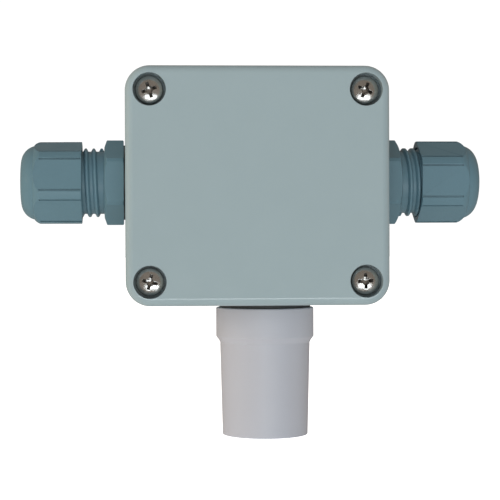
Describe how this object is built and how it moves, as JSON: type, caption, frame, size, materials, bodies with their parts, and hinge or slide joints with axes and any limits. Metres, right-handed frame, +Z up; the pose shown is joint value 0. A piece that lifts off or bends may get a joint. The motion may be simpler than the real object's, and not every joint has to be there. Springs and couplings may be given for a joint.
{
  "type": "junction box with cable glands",
  "caption": "Small square-cornered plastic junction box for a wall, with a screwed lid, a cable gland on each side and a tapered round spigot below.",
  "frame": {"origin": "centre of the box's back, in the plane of the wall it hangs on", "axes": "+X from the left gland to the right gland as seen from the front, +Y into the wall, +Z up; the spigot points down"},
  "size_m": [0.1155, 0.035, 0.0915],
  "materials": {
    "box_plastic": "fine satin moulding, light bluish grey",
    "gland_plastic": "satin nylon, blue-grey",
    "spigot_plastic": "smooth, pale lavender grey",
    "strip_plastic": "natural nylon",
    "retainer_plastic": "natural nylon",
    "gasket_rubber": "smooth moulded rubber",
    "dark_rubber": "smooth moulded rubber",
    "screw_steel": "zinc-plated, softly worn",
    "steel": "zinc-plated",
    "brass": "turned brass"
  },
  "bodies": {
    "base": {"box_base": "box_plastic", "lid_gasket": "gasket_rubber", "threaded_inserts": "brass", "left_gland_body": "gland_plastic", "right_gland_body": "gland_plastic", "left_panel_washer": "dark_rubber", "right_panel_washer": "dark_rubber", "left_locknut": "gland_plastic", "right_locknut": "gland_plastic", "spigot": "spigot_plastic", "spigot_washer": "dark_rubber", "spigot_locknut": "gland_plastic", "terminal_strip": "strip_plastic", "terminal_barrels": "brass", "strip_screws": "steel"},
    "lid": {"lid": "box_plastic"},
    "retainer_top_left": {"screw_retainer_top_left": "retainer_plastic"},
    "screw_top_left": {"lid_screw_top_left": "screw_steel"},
    "retainer_top_right": {"screw_retainer_top_right": "retainer_plastic"},
    "screw_top_right": {"lid_screw_top_right": "screw_steel"},
    "retainer_bottom_left": {"screw_retainer_bottom_left": "retainer_plastic"},
    "screw_bottom_left": {"lid_screw_bottom_left": "screw_steel"},
    "retainer_bottom_right": {"screw_retainer_bottom_right": "retainer_plastic"},
    "screw_bottom_right": {"lid_screw_bottom_right": "screw_steel"},
    "left_clamp": {"left_clamp_basket": "gland_plastic", "left_seal_insert": "dark_rubber"},
    "left_nut": {"left_dome_nut": "gland_plastic"},
    "right_clamp": {"right_clamp_basket": "gland_plastic", "right_seal_insert": "dark_rubber"},
    "right_nut": {"right_dome_nut": "gland_plastic"},
    "pad_1_left": {"wire_pad_1_left": "steel"},
    "clamp_screw_1_left": {"terminal_screw_1_left": "steel"},
    "pad_1_right": {"wire_pad_1_right": "steel"},
    "clamp_screw_1_right": {"terminal_screw_1_right": "steel"},
    "pad_2_left": {"wire_pad_2_left": "steel"},
    "clamp_screw_2_left": {"terminal_screw_2_left": "steel"},
    "pad_2_right": {"wire_pad_2_right": "steel"},
    "clamp_screw_2_right": {"terminal_screw_2_right": "steel"},
    "pad_3_left": {"wire_pad_3_left": "steel"},
    "clamp_screw_3_left": {"terminal_screw_3_left": "steel"},
    "pad_3_right": {"wire_pad_3_right": "steel"},
    "clamp_screw_3_right": {"terminal_screw_3_right": "steel"}
  },
  "joints": [
    {"name": "lid_lift", "type": "slide", "parent": "base", "child": "lid", "axis": [0, -1, 0], "range_m": [0, 0.04]},
    {"name": "lid_screw_top_left_rise", "type": "slide", "parent": "lid", "child": "retainer_top_left", "axis": [0, -1, 0], "range_m": [0, 0.00602]},
    {"name": "lid_screw_top_left_turn", "type": "hinge", "parent": "retainer_top_left", "child": "screw_top_left", "pos_m": [-0.02615, -0.031, 0.02315], "axis": [0, -1, 0], "range_deg": [-5, 3101]},
    {"name": "lid_screw_top_right_rise", "type": "slide", "parent": "lid", "child": "retainer_top_right", "axis": [0, -1, 0], "range_m": [0, 0.00602]},
    {"name": "lid_screw_top_right_turn", "type": "hinge", "parent": "retainer_top_right", "child": "screw_top_right", "pos_m": [0.02615, -0.031, 0.02315], "axis": [0, -1, 0], "range_deg": [-5, 3101]},
    {"name": "lid_screw_bottom_left_rise", "type": "slide", "parent": "lid", "child": "retainer_bottom_left", "axis": [0, -1, 0], "range_m": [0, 0.00602]},
    {"name": "lid_screw_bottom_left_turn", "type": "hinge", "parent": "retainer_bottom_left", "child": "screw_bottom_left", "pos_m": [-0.02615, -0.031, -0.02315], "axis": [0, -1, 0], "range_deg": [-5, 3101]},
    {"name": "lid_screw_bottom_right_rise", "type": "slide", "parent": "lid", "child": "retainer_bottom_right", "axis": [0, -1, 0], "range_m": [0, 0.00602]},
    {"name": "lid_screw_bottom_right_turn", "type": "hinge", "parent": "retainer_bottom_right", "child": "screw_bottom_right", "pos_m": [0.02615, -0.031, -0.02315], "axis": [0, -1, 0], "range_deg": [-5, 3101]},
    {"name": "left_nut_travel", "type": "slide", "parent": "base", "child": "left_clamp", "axis": [-1, 0, 0], "range_m": [-0.0045, 0.008]},
    {"name": "left_nut_turn", "type": "hinge", "parent": "left_clamp", "child": "left_nut", "pos_m": [-0.0429, -0.0134, 0.00145], "axis": [-1, 0, 0], "range_deg": [-815, 1445]},
    {"name": "right_nut_travel", "type": "slide", "parent": "base", "child": "right_clamp", "axis": [1, 0, 0], "range_m": [-0.0045, 0.008]},
    {"name": "right_nut_turn", "type": "hinge", "parent": "right_clamp", "child": "right_nut", "pos_m": [0.04215, -0.0134, 0.00145], "axis": [1, 0, 0], "range_deg": [-815, 1445]},
    {"name": "clamp_screw_1_left_travel", "type": "slide", "parent": "base", "child": "pad_1_left", "axis": [0, -1, 0], "range_m": [-0.001, 0.00075]},
    {"name": "clamp_screw_1_left_turn", "type": "hinge", "parent": "pad_1_left", "child": "clamp_screw_1_left", "pos_m": [-0.0037, -0.0147, -0.007], "axis": [0, -1, 0], "range_deg": [-725, 545]},
    {"name": "clamp_screw_1_right_travel", "type": "slide", "parent": "base", "child": "pad_1_right", "axis": [0, -1, 0], "range_m": [-0.001, 0.00075]},
    {"name": "clamp_screw_1_right_turn", "type": "hinge", "parent": "pad_1_right", "child": "clamp_screw_1_right", "pos_m": [0.0037, -0.0147, -0.007], "axis": [0, -1, 0], "range_deg": [-725, 545]},
    {"name": "clamp_screw_2_left_travel", "type": "slide", "parent": "base", "child": "pad_2_left", "axis": [0, -1, 0], "range_m": [-0.001, 0.00075]},
    {"name": "clamp_screw_2_left_turn", "type": "hinge", "parent": "pad_2_left", "child": "clamp_screw_2_left", "pos_m": [-0.0037, -0.0147, 0.001], "axis": [0, -1, 0], "range_deg": [-725, 545]},
    {"name": "clamp_screw_2_right_travel", "type": "slide", "parent": "base", "child": "pad_2_right", "axis": [0, -1, 0], "range_m": [-0.001, 0.00075]},
    {"name": "clamp_screw_2_right_turn", "type": "hinge", "parent": "pad_2_right", "child": "clamp_screw_2_right", "pos_m": [0.0037, -0.0147, 0.001], "axis": [0, -1, 0], "range_deg": [-725, 545]},
    {"name": "clamp_screw_3_left_travel", "type": "slide", "parent": "base", "child": "pad_3_left", "axis": [0, -1, 0], "range_m": [-0.001, 0.00075]},
    {"name": "clamp_screw_3_left_turn", "type": "hinge", "parent": "pad_3_left", "child": "clamp_screw_3_left", "pos_m": [-0.0037, -0.0147, 0.009], "axis": [0, -1, 0], "range_deg": [-725, 545]},
    {"name": "clamp_screw_3_right_travel", "type": "slide", "parent": "base", "child": "pad_3_right", "axis": [0, -1, 0], "range_m": [-0.001, 0.00075]},
    {"name": "clamp_screw_3_right_turn", "type": "hinge", "parent": "pad_3_right", "child": "clamp_screw_3_right", "pos_m": [0.0037, -0.0147, 0.009], "axis": [0, -1, 0], "range_deg": [-725, 545]}
  ],
  "couplings": [
    {"joint": "lid_screw_top_left_turn", "follows": "lid_screw_top_left_rise", "rad_per_m": 8976},
    {"joint": "lid_screw_top_right_turn", "follows": "lid_screw_top_right_rise", "rad_per_m": 8976},
    {"joint": "lid_screw_bottom_left_turn", "follows": "lid_screw_bottom_left_rise", "rad_per_m": 8976},
    {"joint": "lid_screw_bottom_right_turn", "follows": "lid_screw_bottom_right_rise", "rad_per_m": 8976},
    {"joint": "left_nut_turn", "follows": "left_nut_travel", "rad_per_m": 3141.6},
    {"joint": "right_nut_turn", "follows": "right_nut_travel", "rad_per_m": 3141.6},
    {"joint": "clamp_screw_1_left_turn", "follows": "clamp_screw_1_left_travel", "rad_per_m": 12566},
    {"joint": "clamp_screw_1_right_turn", "follows": "clamp_screw_1_right_travel", "rad_per_m": 12566},
    {"joint": "clamp_screw_2_left_turn", "follows": "clamp_screw_2_left_travel", "rad_per_m": 12566},
    {"joint": "clamp_screw_2_right_turn", "follows": "clamp_screw_2_right_travel", "rad_per_m": 12566},
    {"joint": "clamp_screw_3_left_turn", "follows": "clamp_screw_3_left_travel", "rad_per_m": 12566},
    {"joint": "clamp_screw_3_right_turn", "follows": "clamp_screw_3_right_travel", "rad_per_m": 12566}
  ]
}
